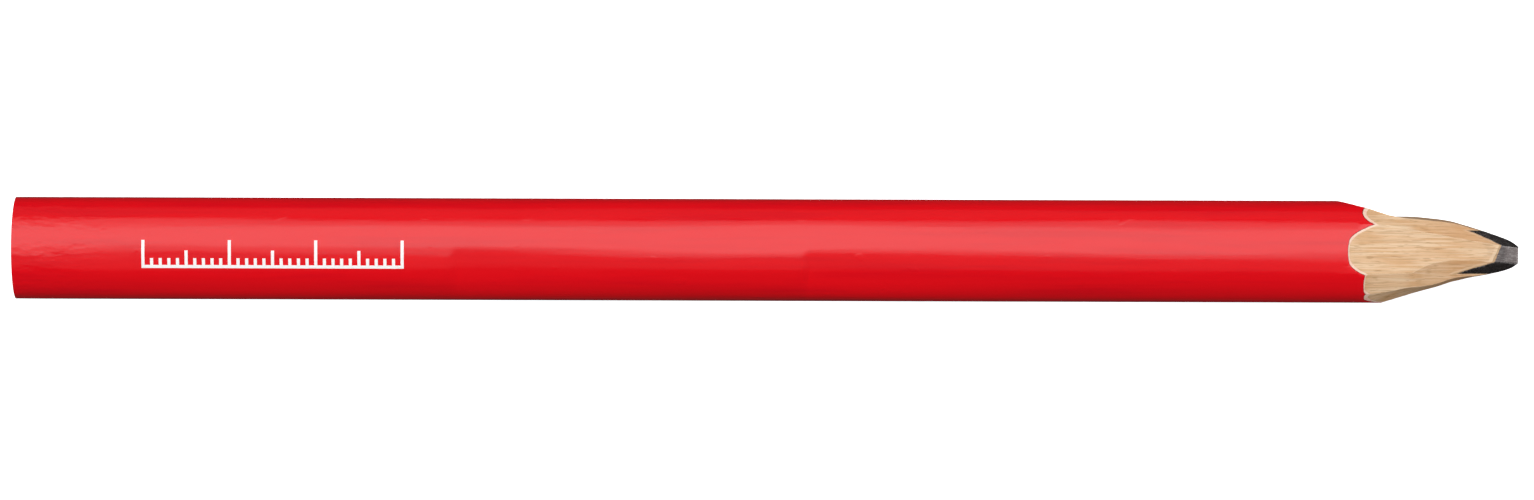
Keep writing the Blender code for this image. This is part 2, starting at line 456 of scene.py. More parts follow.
@dataclass(frozen=True)
class Lacquer:
    """Glossy red lacquer, dipped: faint ripples, laps where the coat thickens, fine dust, and a painted
    dark shade along its edges.
    """

    body: Triple = (0.775, 0.0026, 0.0080)
    deep: Triple = (0.710, 0.0016, 0.0086)
    # The colour of the painted shade that darkens the coat's corners and rims.
    edge: Triple = (0.200, 0.0060, 0.0070)
    roughness: float = 0.165
    ripple_mm: float = 0.24
    laps: tuple[Lap, ...] = (Lap(50.5, 86.0, 1.1, 1.55), Lap(91.3, 127.0, 1.45, 1.45))
    lap_mm: float = 0.15
    lap_front: float = 1.2
    first_depth: float = 0.1
    crease_fade: float = -0.0060
    crease_low: float = -0.0024
    crease_high: float = 0.0006
    grain_mm: float = 0.007
    speck_mm: float = 0.012
    pucker_mm: float = 0.080
    pucker_start: float = 3.0
    pucker_end: float = 15.0

    def crown(self, board: Board, below: Socket) -> Socket:
        """The crease along the crown, deeper or shallower from lap to lap.

        Args:
            board: The lacquer's node tree.
            below: A relief to add it to.

        Returns:
            The bent normal.
        """
        place = board.split(board.place)
        depth = board.butt_span(0.0, LENGTH, self.first_depth, self.first_depth)
        for lap in self.laps:
            front = board.butt_span(lap.start, lap.start + self.lap_front, 0.0, -lap.step_in)
            ease = board.butt_span(lap.start, lap.end, 0.0, lap.ease_out)
            depth = board.sum("ADD", board.sum("ADD", depth, front), ease)
        crease = board.span(place["Y"], self.crease_low, self.crease_high, 1.0, 0.0)
        fade = board.span(place["Y"], self.crease_fade, self.crease_low)
        shaped = board.sum("MULTIPLY", board.sum("MULTIPLY", crease, fade), depth)
        return board.relief(shaped, self.lap_mm, over=below)

    def build(self) -> Material:
        """Make the material.

        Returns:
            The lacquer.
        """
        board = Board("gloss_red_lacquer")
        cloud = board.noise(board.stretch((50.0, 900.0, 900.0)), detail=3.0)
        colour = board.tint(board.span(cloud, 0.45, 0.75), self.body, self.deep)
        # Painted shade: where the coat turns a corner, its colour is darkened towards the edge colour.
        colour = board.tint(board.edges(0.09, 0.02, 0.20), colour, self.edge)
        board.feed(colour, "Base Color")
        haze = board.noise(board.stretch((140.0, 1600.0, 1600.0)), detail=3.0, roughness=0.6)
        board.feed(board.span(haze, 0.3, 0.75, self.roughness * 0.8, self.roughness * 1.3), "Roughness")
        ripple = board.relief(
            board.noise(board.stretch((20.0, 260.0, 260.0)), detail=1.0), self.ripple_mm
        )
        crown = self.crown(board, ripple)
        grain = board.relief(
            board.noise(board.stretch((300.0, 1700.0, 1700.0)), detail=2.0), self.grain_mm, over=crown
        )
        dimples = board.noise(board.stretch((420.0, 900.0, 900.0)), detail=2.0)
        at_butt = board.butt_span(self.pucker_start, self.pucker_end, 1.0, 0.0)
        puckered = board.relief(board.sum("MULTIPLY", dimples, at_butt), self.pucker_mm, over=grain)
        dust = board.noise(board.stretch((500.0, 700.0, 700.0)), detail=0.0)
        specks = board.relief(board.span(dust, 0.78, 0.84), self.speck_mm, over=puckered)
        board.feed(specks, "Normal")
        board.set(IOR=1.48)
        return board.material


@dataclass(frozen=True)
class Mottle:
    """A plain finish: one colour, with a little of another showing through.

    Attributes:
        name: The material's name.
        body: The main colour.
        fleck: The colour that shows through.
        cells: How many cells of the mottle fit in a metre along each axis.
        detail: Octaves of the mottle.
        grit: How strong the finer octaves are.
        shows: Where in the mottle the second colour starts, and where it is full.
        roughness: The smoothest and the roughest that it gets.
        relief_mm: How far the mottle stands, in mm.
    """

    name: str
    body: Triple
    fleck: Triple
    cells: Triple
    detail: float
    grit: float
    shows: tuple[float, float]
    roughness: tuple[float, float]
    relief_mm: float

    def build(self) -> Material:
        """Make the material.

        Returns:
            The finish.
        """
        board = Board(self.name)
        mottle = board.noise(board.stretch(self.cells), self.detail, self.grit)
        board.feed(board.tint(board.span(mottle, *self.shows), self.body, self.fleck), "Base Color")
        board.feed(board.span(mottle, 0.3, 0.7, *self.roughness), "Roughness")
        board.feed(board.relief(mottle, self.relief_mm), "Normal")
        return board.material


PRIMER = Mottle(
    "pale_primer", (0.92, 0.69, 0.54), (0.88, 0.49, 0.38), (1400.0, 2600.0, 2600.0),
    detail=3.0, grit=0.5, shows=(0.42, 0.72), roughness=(0.5, 0.75), relief_mm=0.004,
)
DRIED_GLUE = Mottle(
    "dried_glue", (0.60, 0.38, 0.20), (0.42, 0.25, 0.13), (300.0, 2600.0, 2600.0),
    detail=3.0, grit=0.5, shows=(0.4, 0.7), roughness=(0.3, 0.5), relief_mm=0.003,
)
WHITE_INK = Mottle(
    "white_print", (0.97, 0.955, 0.95), (0.93, 0.70, 0.68), (3000.0, 3000.0, 3000.0),
    detail=4.0, grit=0.7, shows=(0.6, 0.78), roughness=(0.28, 0.42), relief_mm=0.002,
)


@dataclass(frozen=True)
class Grain:
    """One layer of fibres along the pencil.

    Attributes:
        cells: How many fit in a metre along the pencil, across the face and into it.
        shift: An offset in pattern units.
        roughness: How strong the finer octaves are.
        shows: Where in the pattern its colour starts, and where it is full.
        strength: How much of its colour shows at most.
    """

    cells: Triple
    shift: Triple
    roughness: float
    shows: tuple[float, float]
    strength: float

    def amount(self, board: Board, pattern: Socket) -> Socket:
        """How much of the layer's colour shows, from its pattern."""
        return board.span(pattern, *self.shows, 0.0, self.strength)


@dataclass(frozen=True)
class BareWood:
    """Pale straight-grained wood, raw from the knife, greyed a little near the point, with painted
    shade darkening the facets that face sideways near the point.

    The growth rings run round a heart that lay below and beside the pencil, so each sloping cut
    crosses them in long curves. The knife's ridges carry a painted highlight.
    """

    pale: Triple = (0.770, 0.505, 0.295)
    late: Triple = (0.690, 0.395, 0.192)
    cream: Triple = (0.860, 0.650, 0.440)
    fibre: Triple = (0.480, 0.265, 0.120)
    dust: Triple = (0.20, 0.16, 0.14)
    end_pale: Triple = (0.640, 0.410, 0.235)
    end_late: Triple = (0.500, 0.285, 0.135)
    saw_depth: float = 0.06
    # The colour and strength of the painted shade on the facets that face sideways near the point.
    painted_side_shade: Triple = (0.56, 0.25, 0.085)
    side_shade_strength: float = 0.42
    # How strongly a painted highlight lightens the knife's ridges towards cream.
    ridge_highlight_strength: float = 0.75
    light: Grain = Grain((75.0, 4200.0, 900.0), (3.0, 1.0, 5.0), 0.5, (0.42, 0.66), 0.66)
    threads: Grain = Grain((130.0, 5600.0, 1300.0), (0.0, 0.0, 0.0), 0.6, (0.46, 0.68), 0.42)
    pores: Grain = Grain((520.0, 6400.0, 2300.0), (9.0, 4.0, 2.0), 0.5, (0.56, 0.69), 0.58)
    ring_mm: float = 1.25
    heart_mm: Triple = (0.0, -5.0, 10.5)
    dust_start: float = 0.0820
    dust_end: float = 0.0868

    def build(self) -> Material:
        """Make the material.

        Returns:
            The wood.
        """
        board = Board("bare_pencil_wood")
        grown = board.stretch((1000.0, 1000.0, 1000.0), (0.0, 0.6, 0.8), self.heart_mm)
        rings = board.rings(grown, self.ring_mm, 0.7, 0.10)
        colour = board.tint(board.span(rings, 0.25, 0.95, 0.0, 0.62), self.pale, self.late)
        light = self.fibres(board, self.light)
        colour = board.tint(self.light.amount(board, light), colour, self.cream)
        threads = self.fibres(board, self.threads)
        colour = board.tint(self.threads.amount(board, threads), colour, self.fibre)
        # Painted highlight: corners where the knife's facets meet are lightened towards cream.
        painted_ridge_highlight = board.sum("MULTIPLY", board.edges(0.22, 0.007, 0.024), self.ridge_highlight_strength)
        colour = board.tint(painted_ridge_highlight, colour, self.cream)
        pores = self.fibres(board, self.pores)
        colour = board.tint(self.pores.amount(board, pores), colour, self.fibre)
        # Painted shade: facets whose normal looks to +Y or -Y are darkened near the point.
        side_shade_mask = board.sum(
            "MULTIPLY", board.sideways(0.30, 0.42), board.butt_span(161.0, 169.0, 0.0, self.side_shade_strength)
        )
        colour = board.tint(side_shade_mask, colour, self.painted_side_shade)
        along = board.split(board.place)["X"]
        speck = board.noise(board.stretch((900.0, 1800.0, 1800.0)), 4.0, 0.7)
        near = board.span(along, self.dust_start, self.dust_end, 0.0, 0.40)
        smudge = board.sum("MULTIPLY", near, board.span(speck, 0.3, 0.75))
        colour = board.tint(smudge, colour, self.dust)
        saw = board.noise(board.stretch((0.0, 90.0, 5200.0)), 2.0, 0.6)
        sawn = board.butt_span(self.saw_depth, 2.0 * self.saw_depth, 1.0, 0.0)
        board.feed(board.tint(sawn, colour, self.end_grain(board, rings, saw)), "Base Color")
        board.feed(board.span(threads, 0.3, 0.8, 0.55, 0.8), "Roughness")
        coarse = board.relief(board.span(threads, 0.3, 0.75), 0.020)
        fine = board.relief(board.span(pores, 0.6, 0.8, 1.0, 0.0), 0.020, 0.8, coarse)
        board.feed(board.relief(board.sum("MULTIPLY", saw, sawn), 0.030, over=fine), "Normal")
        board.set(Specular_IOR_Level=0.25)
        return board.material

    def fibres(self, board: Board, grain: Grain) -> Socket:
        """Fibres along the pencil, fine across the face whichever way the cut looks.

        Args:
            board: The wood's node tree.
            grain: The layer of fibres.

        Returns:
            A value around a half.
        """
        along, across, deep = grain.cells
        flat, side = (
            board.noise(board.stretch(cells, shift=grain.shift), 2.0, grain.roughness)
            for cells in ((along, across, deep), (along, deep, across))
        )
        return board.tint(board.sideways(0.60, 0.75), flat, side)

    def end_grain(self, board: Board, rings: Socket, saw: Socket) -> Socket:
        """The colour of the wood where the fibres are cut across.

        Args:
            board: The wood's node tree.
            rings: Its growth rings.
            saw: The marks of the saw.

        Returns:
            The colour.
        """
        colour = board.tint(board.span(rings, 0.2, 0.95, 0.0, 0.9), self.end_pale, self.end_late)
        vessels = board.noise(board.stretch((300.0, 4600.0, 4600.0)), 1.0)
        colour = board.tint(board.span(vessels, 0.55, 0.70, 0.0, 0.65), colour, self.fibre)
        cloud = board.noise(board.stretch((300.0, 900.0, 900.0)), 3.0)
        colour = board.tint(board.span(cloud, 0.40, 0.75, 0.0, 0.35), colour, self.fibre)
        return board.tint(board.span(saw, 0.45, 0.75, 0.0, 0.16), colour, self.cream)


@dataclass(frozen=True)
class Graphite:
    """Fired graphite and clay: dark, with a dull metallic sheen and fine scratches along the cut."""

    dark: Triple = (0.108, 0.093, 0.092)
    worn: Triple = (0.195, 0.180, 0.176)
    polished: Triple = (0.42, 0.41, 0.41)

    def build(self) -> Material:
        """Make the material.

        Returns:
            The graphite.
        """
        board = Board("graphite_lead")
        grit = board.noise(board.stretch((2400.0, 5200.0, 5200.0)), 4.0, 0.7)
        scratch = board.noise(board.stretch((260.0, 7000.0, 7000.0), (0.0, 0.0, 6.0)), 2.0, 0.6)
        colour = board.tint(board.span(scratch, 0.45, 0.75), self.dark, self.worn)
        rubbed = board.sum("MULTIPLY", board.edges(0.10, 0.002, 0.03), board.span(grit, 0.35, 0.6))
        colour = board.tint(rubbed, colour, self.polished)
        board.feed(colour, "Base Color")
        board.feed(board.span(grit, 0.3, 0.75, 0.20, 0.36), "Roughness")
        marks = board.relief(scratch, 0.004)
        board.feed(board.relief(grit, 0.004, 0.5, marks), "Normal")
        board.set(Metallic=0.95)
        return board.material


# ---------------------------------------------------------------- the knife


@dataclass(frozen=True)
class Station:
    """Where a knife cut lies at one place along the pencil.

    Attributes:
        x: Distance from the butt in mm.
        reach: Distance of the cut's face from the axis in mm.
        roll: The way the face looks, in degrees: 0 is +Y, 90 up, 180 -Y, 270 down.
    """

    x: float
    reach: float
    roll: float


@dataclass(frozen=True)
class KnifeCut:
    """One stroke of the sharpening knife, from its shoulder to the tip."""

    name: str
    stations: tuple[Station, ...]
    step: float = 0.30
    chatter: float = 0.010
    hollow: float = 0.04
    hollow_half: float = 2.5
    half_width: float = 6.5
    depth: float = 7.0
    strips: int = 26
    overshoot: float = 1.0
    calm_start: float = 1.2
    calm_end: float = 0.5

    def slope(self, values: Sequence[float], k: int) -> float:
        """The slope of a curve that never overshoots, at one station.

        Args:
            values: The reach or the roll at every station.
            k: The station's place in the list.

        Returns:
            The slope per mm.
        """
        places = [s.x for s in self.stations]
        rises = [
            (values[i + 1] - values[i]) / (places[i + 1] - places[i])
            for i in range(max(k - 1, 0), min(k + 1, len(places) - 1))
        ]
        if len(rises) == 1:
            return rises[0]
        if rises[0] * rises[1] <= 0.0:
            return 0.0
        return 2.0 * rises[0] * rises[1] / (rises[0] + rises[1])

    def at(self, x: float) -> tuple[float, float]:
        """Reach and roll at a place between stations.

        Args:
            x: Distance from the butt in mm.

        Returns:
            The reach in mm and the roll in degrees.
        """
        places = [s.x for s in self.stations]
        k = max((i for i in range(len(places) - 1) if places[i] <= x), default=0)
        span = places[k + 1] - places[k]
        t = min(max((x - places[k]) / span, 0.0), 1.0)
        found = []
        for values in ([s.reach for s in self.stations], [s.roll for s in self.stations]):
            found.append(
                (2 * t**3 - 3 * t**2 + 1) * values[k]
                + (t**3 - 2 * t**2 + t) * self.slope(values, k) * span
                + (3 * t**2 - 2 * t**3) * values[k + 1]
                + (t**3 - t**2) * self.slope(values, k + 1) * span
            )
        return found[0], found[1]

    def stand_first_section(self) -> Thing:
        """Stand the cut's section across the pencil at its first station.

        Returns:
            A flat grid whose inner edge is slightly hollow.
        """
        first = self.stations[0]
        Bench.clear()
        bpy.ops.mesh.primitive_grid_add(
            x_subdivisions=1, y_subdivisions=self.strips, size=2.0, location=(0.0, 0.0, 0.0)
        )
        section = bpy.context.object
        section.name = "knife_" + self.name
        for vertex in section.data.vertices:
            side = vertex.co.y * self.half_width
            out = first.reach + self.depth
            if vertex.co.x < 0.0:
                share = min((side / self.hollow_half) ** 2, 1.0)
                out = first.reach + self.hollow * (share - 0.5)
            turn = math.radians(first.roll)
            vertex.co = (
                first.x,
                out * math.cos(turn) - side * math.sin(turn),
                out * math.sin(turn) + side * math.cos(turn),
            )
        return section

    def block(self, rng: random.Random) -> Thing:
        """The closed block of material that the stroke removes.

        The section is extruded from station to station, and turned about the pencil's axis.

        Args:
            rng: Source of the knife's slight chatter.

        Returns:
            The block, in mm.
        """
        first, last = self.stations[0], self.stations[-1]
        section = self.stand_first_section()
        Bench.edit_all(section)
        steps = math.ceil((last.x - first.x) / self.step)
        even = [first.x + (last.x - first.x) * i / steps for i in range(1, steps)]
        was_x, was_reach, was_roll = first.x, first.reach, first.roll
        for x in (*even, last.x, last.x + self.overshoot):
            reach, roll = self.at(min(x, last.x))
            if first.x + self.calm_start < x < last.x - self.calm_end:
                reach += rng.uniform(-1.0, 1.0) * self.chatter
            out, turn = reach - was_reach, math.radians(was_roll)
            bpy.ops.mesh.extrude_region_move(
                TRANSFORM_OT_translate={
                    "value": (x - was_x, out * math.cos(turn), out * math.sin(turn))
                }
            )
            if roll != was_roll:
                bpy.ops.transform.rotate(
                    value=RIGHT_HAND * math.radians(roll - was_roll),
                    orient_axis="X",
                    orient_type="GLOBAL",
                    center_override=(x, 0.0, 0.0),
                )
            was_x, was_reach, was_roll = x, reach, roll
        bpy.ops.mesh.select_all(action="SELECT")
        bpy.ops.mesh.quads_convert_to_tris()
        bpy.ops.mesh.normals_make_consistent(inside=False)
        bpy.ops.object.mode_set(mode="OBJECT")
        return section


@dataclass(frozen=True)
class Sharpening:
    """All the strokes that make the point."""

    strokes: tuple[KnifeCut, ...]
    side: float = 6.4

    def envelope(self) -> Thing:
        """A block that holds the whole pencil, with every stroke taken off its far end.

        Returns:
            The closed envelope, in mm.
        """
        rng = random.Random(KNIFE_SEED)
        block = Bench.box(
            "envelope", (END_ROOM, -self.side, -self.side), (LENGTH - END_ROOM, self.side, self.side)
        )
        for stroke in self.strokes:
            tool = stroke.block(rng)
            Bench.boolean(block, tool, Cut.TAKE_OFF)
            Bench.throw_away(tool)
        Bench.tidy(block)
        return block


def stations(*rows: Triple) -> tuple[Station, ...]:
    """Name a cut's stations, given as rows of x, reach and roll."""
    return tuple(Station(*row) for row in rows)


STROKES = (
    KnifeCut("broad_upper", stations(
        (154.65, 3.72, 90.0), (154.90, 3.56, 90.0), (155.55, 3.41, 90.0), (156.55, 3.24, 90.0),
        (159.60, 2.81, 90.5), (164.70, 2.11, 92.0), (167.75, 1.72, 93.0), (170.80, 1.31, 94.5),
        (173.25, 0.90, 94.6), (175.00, 0.50, 94.0))),
    KnifeCut("plus_y_corner_upper", stations(
        (156.20, 4.70, 52.4), (156.60, 4.60, 52.4), (157.50, 4.43, 53.0), (159.70, 4.07, 55.0),
        (163.70, 3.20, 58.0), (166.75, 2.58, 60.0), (169.40, 2.07, 60.0), (171.55, 1.62, 60.0),
        (173.15, 1.22, 60.0), (175.00, 0.72, 60.0))),
    KnifeCut("plus_y_edge", stations(
        (153.50, 5.95, -10.0), (155.20, 5.31, -10.0), (156.95, 4.74, -10.0), (160.20, 4.16, 0.0),
        (163.20, 3.94, 6.0), (167.00, 3.52, 8.0), (169.00, 3.00, 8.0), (171.70, 2.18, 8.0),
        (174.30, 1.22, 8.0), (175.00, 0.72, 8.0))),
    KnifeCut("minus_y_corner_upper", stations(
        (156.55, 4.33, 118.0), (156.65, 4.17, 118.0), (157.10, 4.05, 118.0), (160.10, 3.63, 118.0),
        (162.10, 3.32, 117.0), (163.25, 2.91, 116.5), (165.00, 2.39, 115.0), (166.90, 2.03, 113.5),
        (169.95, 1.64, 113.5), (171.95, 1.42, 113.5), (175.00, 0.94, 113.5))),
    KnifeCut("minus_y_edge_upper", stations(
        (156.65, 5.28, 143.0), (156.85, 5.17, 143.0), (157.95, 5.06, 144.0), (160.10, 4.79, 149.0),
        (165.30, 3.80, 159.0), (167.80, 3.06, 158.0), (170.30, 2.78, 172.0), (172.60, 2.33, 172.0),
        (174.20, 1.86, 172.0), (175.00, 1.35, 172.0))),
    KnifeCut("minus_y_edge_lower", stations(
        (157.40, 5.40, 213.0), (160.20, 4.79, 211.0), (165.30, 3.80, 205.0), (167.80, 3.10, 205.0),
        (170.30, 2.75, 195.0), (172.60, 2.35, 190.0), (174.20, 1.86, 190.0), (175.00, 1.35, 190.0))),
    KnifeCut("minus_y_corner_lower", stations(
        (155.80, 4.33, 242.0), (156.30, 4.14, 242.0), (160.00, 3.60, 242.0), (165.00, 2.60, 245.0),
        (170.00, 1.70, 246.0), (175.00, 0.90, 246.0))),
    KnifeCut("plus_y_corner_lower", stations(
        (155.90, 4.60, 305.0), (156.50, 4.44, 305.0), (160.00, 3.95, 305.0), (165.00, 3.05, 302.0),
        (170.00, 1.98, 300.0), (175.00, 0.78, 300.0))),
    KnifeCut("broad_lower", stations(
        (154.60, 3.72, 270.0), (155.00, 3.55, 270.0), (156.20, 3.36, 269.0), (160.00, 2.84, 268.0),
        (167.00, 1.88, 267.0), (173.00, 1.00, 267.0), (175.00, 0.45, 268.0))),
)


# ---------------------------------------------------------------- the pieces


@dataclass(frozen=True)
class Layers:
    """How deep each layer lies under the barrel's outer face, in mm."""

    half_width: float = 5.945
    half_height: float = 3.695
    lacquer: float = 0.055
    primer: float = 0.135
    fit: float = 0.004
    glue: float = 0.045
    lead_width: float = 5.0
    lead_thickness: float = 2.0
    sides: int = 256
    rings: int = 70
    margin: float = 1.0

    def rod(self, name: str, inset: float, start: float, end: float, rings: int) -> Thing:
        """An oval rod: a disc stood across the pencil and drawn out along it.

        Args:
            name: The object's name.
            inset: How far it lies under the outer face, in mm.
            start: Where it starts, from the butt, in mm.
            end: Where it ends.
            rings: How many steps it is drawn out in.

        Returns:
            The closed rod, in mm.
        """
        Bench.clear()
        bpy.ops.mesh.primitive_circle_add(
            vertices=self.sides, radius=1.0, fill_type="NGON", location=(0.0, 0.0, 0.0)
        )
        rod = bpy.context.object
        rod.name = name
        Bench.edit_all(rod)
        bpy.ops.transform.resize(value=(self.half_height - inset, self.half_width - inset, 1.0))
        bpy.ops.transform.rotate(
            value=math.radians(90.0), orient_axis="Y", orient_type="GLOBAL",
            center_override=(0.0, 0.0, 0.0),
        )
        bpy.ops.transform.translate(value=(start, 0.0, 0.0))
        for _ in range(rings):
            bpy.ops.mesh.extrude_region_move(
                TRANSFORM_OT_translate={"value": ((end - start) / rings, 0.0, 0.0)}
            )
        bpy.ops.mesh.select_all(action="SELECT")
        bpy.ops.mesh.normals_make_consistent(inside=False)
        bpy.ops.object.mode_set(mode="OBJECT")
        return rod


@dataclass
class Piece:
    """What every finished piece of the pencil has."""

    name: str
    node: str
    slot: str
    layers: Layers = field(default_factory=Layers)
    sharp_degrees: float = 24.0

    def shape(self) -> Thing:
        """Shape the piece, in mm, before it is sharpened."""
        raise NotImplementedError

    def rub(self, thing: Thing) -> None:
        """Wear the sharpened piece. Only the lead is worn."""

    def make(self, dress: Material, envelope: Thing | None = None) -> Thing:
        """Shape, sharpen and dress the piece, and put it in the place of its frame node.

        Args:
            dress: Its material.
            envelope: What the knife leaves, for a piece that the knife reaches.

        Returns:
            The piece on the floor.
        """
        thing = self.shape()
        if envelope is not None:
            Bench.boolean(thing, envelope, Cut.KEEP_COMMON)
        Bench.tidy(thing)
        self.rub(thing)
        thing.name = self.name
        thing.data.name = self.name
        Bench.lay_down(thing, self.sharp_degrees)
        thing.data.materials.clear()
        thing.data.materials.append(dress)
        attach(thing, "root")
        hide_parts(self.node)
        LOG.info("%s: %d faces", self.name, len(thing.data.polygons))
        return thing


@dataclass
class Coat(Piece):
    """One coat of paint round the wood: an oval tube cut off by the knife."""

    outer: float = 0.0
    inner: float = 0.055
    ripple: float = 0.0
    ripple_length: float = 9.0
    rim: float = 0.0
    rim_segments: int = 3

    def round_rim(self, rod: Thing) -> None:
        """Round the coat's outer edge at the butt.

        Args:
            rod: The coat's outer rod.
        """
        Bench.take_up(rod)
        bpy.ops.object.mode_set(mode="EDIT")
        bpy.ops.mesh.select_all(action="DESELECT")
        bpy.ops.object.mode_set(mode="OBJECT")
        for edge in rod.data.edges:
            edge.select = all(rod.data.vertices[i].co.x < NEARLY for i in edge.vertices)
        bpy.ops.object.mode_set(mode="EDIT")
        bpy.ops.mesh.select_mode(type="EDGE")
        bpy.ops.mesh.bevel(offset=self.rim, segments=self.rim_segments, affect="EDGES")
        bpy.ops.object.mode_set(mode="OBJECT")

    def wave(self, rod: Thing) -> None:
        """Let the coat's outer face wander a little, as a dipped coat does.

        Args:
            rod: The coat's outer rod.
        """
        cloud = bpy.data.textures.new(self.name + "_ripple", "CLOUDS")
        cloud.noise_scale = self.ripple_length
        cloud.noise_depth = 1
        Bench.take_up(rod)
        step = rod.modifiers.new("ripple", "DISPLACE")
        step.texture = cloud
        step.texture_coords = "LOCAL"
        step.direction = "NORMAL"
        step.mid_level = 1.0
        step.strength = self.ripple
        bpy.ops.object.modifier_apply(modifier=step.name)
        bpy.data.textures.remove(cloud)

    def shape(self) -> Thing:
        """Draw the coat's rod and hollow it.

        Returns:
            The uncut coat.
        """
        end = LENGTH + self.layers.margin
        rings = self.layers.rings if self.ripple else 1
        coat = self.layers.rod(self.name, self.outer, 0.0, end, rings)
        if self.rim:
            self.round_rim(coat)
        if self.ripple:
            self.wave(coat)
        core = self.layers.rod("core", self.inner, -self.layers.margin, end + self.layers.margin, 1)
        Bench.boolean(coat, core, Cut.TAKE_OFF)
        Bench.throw_away(core)
        return coat


@dataclass
class Slat(Piece):
    """One wooden half with its groove for the lead."""

    side: float = 1.0

    def shape(self) -> Thing:
        """Split the rod and cut the groove.

        Returns:
            The uncut half.
        """
        made = self.layers
        end = LENGTH + made.margin
        half = made.rod(self.name, made.primer + made.fit, 0.0, end, 1)
        Bench.edit_all(half)
        seam = made.glue / 2.0 + made.fit
        bpy.ops.mesh.bisect(
            plane_co=(0.0, 0.0, self.side * seam), plane_no=(0.0, 0.0, self.side),
            use_fill=True, clear_inner=True,
        )
        bpy.ops.object.mode_set(mode="OBJECT")
        room = made.glue + 2.0 * made.fit
        wide = made.lead_width / 2.0 + room
        deep = made.lead_thickness / 2.0 + room
        groove = Bench.box("groove", (-made.margin, -wide, -deep), (end + made.margin, wide, deep))
        Bench.boolean(half, groove, Cut.TAKE_OFF)
        Bench.throw_away(groove)
        return half


@dataclass
class Lead(Piece):
    """The flat lead, its cut edges rubbed a little by use."""

    wear: float = 0.035
    wear_segments: int = 2
    wear_angle: float = 32.0

    def shape(self) -> Thing:
        """Saw the bar to length."""
        wide, deep = self.layers.lead_width / 2.0, self.layers.lead_thickness / 2.0
        return Bench.box(self.name, (0.0, -wide, -deep), (LENGTH + self.layers.margin, wide, deep))

    def rub(self, thing: Thing) -> None:
        """Round the lead's cut edges a little.

        Args:
            thing: The sharpened lead.
        """
        step = thing.modifiers.new("wear", "BEVEL")
        step.width = self.wear
        step.segments = self.wear_segments
        step.limit_method = "ANGLE"
        step.angle_limit = math.radians(self.wear_angle)
        Bench.take_up(thing)
        bpy.ops.object.modifier_apply(modifier=step.name)


@dataclass
class Glue(Piece):
    """The glue: a film along the seam, joined to a sleeve round the lead."""

    def shape(self) -> Thing:
        """Join the seam and the sleeve, and hollow the sleeve.

        Returns:
            The uncut glue.
        """
        made = self.layers
        end = LENGTH + made.margin
        edge = made.half_width - made.primer - made.fit
        half = made.glue / 2.0
        film = Bench.box(self.name, (0.0, -edge, -half), (end, edge, half))
        room = made.glue + made.fit
        wide, deep = made.lead_width / 2.0, made.lead_thickness / 2.0
        sleeve = Bench.box(
            "sleeve", (0.0, -wide - room, -deep - room), (end, wide + room, deep + room)
        )
        Bench.boolean(film, sleeve, Cut.JOIN)
        hole = Bench.box(
            "hole",
            (-made.margin, -wide - made.fit, -deep - made.fit),
            (end + made.margin, wide + made.fit, deep + made.fit),
        )
        Bench.boolean(film, hole, Cut.TAKE_OFF)
        Bench.throw_away(sleeve, hole)
        return film


@dataclass
class ScalePrint(Piece):
    """A plain printed scale: a base line with a tick at every millimetre."""

    start: float = 15.1
    base: float = -2.30
    line: float = 0.36
    steps: int = 30
    short: float = 1.15
    middle: float = 2.05
    long: float = 3.25
    middle_every: int = 5
    long_every: int = 10
    film: float = 0.012
    lift: float = 0.002
    spare: float = 0.5

    def tick(self, count: int) -> float:
        """How tall a tick stands.

        Args:
            count: Which tick it is, from the start.

        Returns:
            Its height in mm.
        """
        if count % self.long_every == 0:
            return self.long
        return self.middle if count % self.middle_every == 0 else self.short

    def shape(self) -> Thing:
        """Cut the marks out of a thin sheet that follows the barrel.

        Returns:
            The marks.
        """
        low, high = self.layers.half_height / 2.0, self.layers.half_height * 2.0
        end = self.start + self.steps + self.line
        stencil = Bench.box("stencil", (self.start, self.base, low), (end, self.base + self.line, high))
        for count in range(self.steps + 1):
            left = self.start + count
            mark = Bench.box(
                "mark",
                (left, self.base + self.line / 2.0, low - self.spare),
                (left + self.line, self.base + self.tick(count), high + self.spare),
            )
            Bench.boolean(stencil, mark, Cut.JOIN)
            Bench.throw_away(mark)
        past = self.layers.margin
        sheet = self.layers.rod(self.name, -self.film - self.lift, self.start - past, end + past, 1)
        core = self.layers.rod("core", -self.lift, self.start - 2.0 * past, end + 2.0 * past, 1)
        Bench.boolean(sheet, core, Cut.TAKE_OFF)
        Bench.boolean(sheet, stencil, Cut.KEEP_COMMON)
        Bench.throw_away(core, stencil)
        return sheet


@dataclass
class Pencil:
    """The whole pencil, piece by piece."""

    sharpening: Sharpening = field(default_factory=lambda: Sharpening(STROKES))
    layers: Layers = field(default_factory=Layers)

    def build(self) -> None:
        """Make every piece in the order in which the maker adds it."""
        made = self.layers
        envelope = self.sharpening.envelope()
        wood = BareWood().build()
        Slat("upper_half", "upper_slat", "bare_wood", made, side=1.0).make(wood, envelope)
        Slat("lower_half", "lower_slat", "bare_wood", made, side=-1.0).make(wood, envelope)
        Lead("lead_core", "graphite_lead", "graphite", made).make(Graphite().build(), envelope)
        Glue("glue_line", "glue_film", "dried_glue", made).make(DRIED_GLUE.build(), envelope)
        Coat(
            "primer_layer", "primer_coat", "primer", made,
            outer=made.lacquer + made.fit, inner=made.primer,
        ).make(PRIMER.build(), envelope)
        Coat(
            "lacquer_layer", "red_lacquer", "red_lacquer", made,
            outer=0.0, inner=made.lacquer, ripple=0.012, rim=0.012,
        ).make(Lacquer().build(), envelope)
        ScalePrint("scale_marks", "scale_print", "white_print", made).make(WHITE_INK.build())
        Bench.throw_away(envelope)


# ---------------------------------------------------------------- the studio


@dataclass(frozen=True)
class Panel:
    """One soft light panel.

    Attributes:
        name: What it is called.
        side: How far it hangs from overhead toward +Y, in degrees.
        tip: How far it hangs toward the point's end, in degrees.
        distance: Its distance in metres.
        length: Its size along the pencil in metres.
        breadth: Its size across the pencil in metres.
        brightness: Its radiance, where 1 is a white page.
    """

    name: str
    side: float
    tip: float
    distance: float
    length: float
    breadth: float
    brightness: float


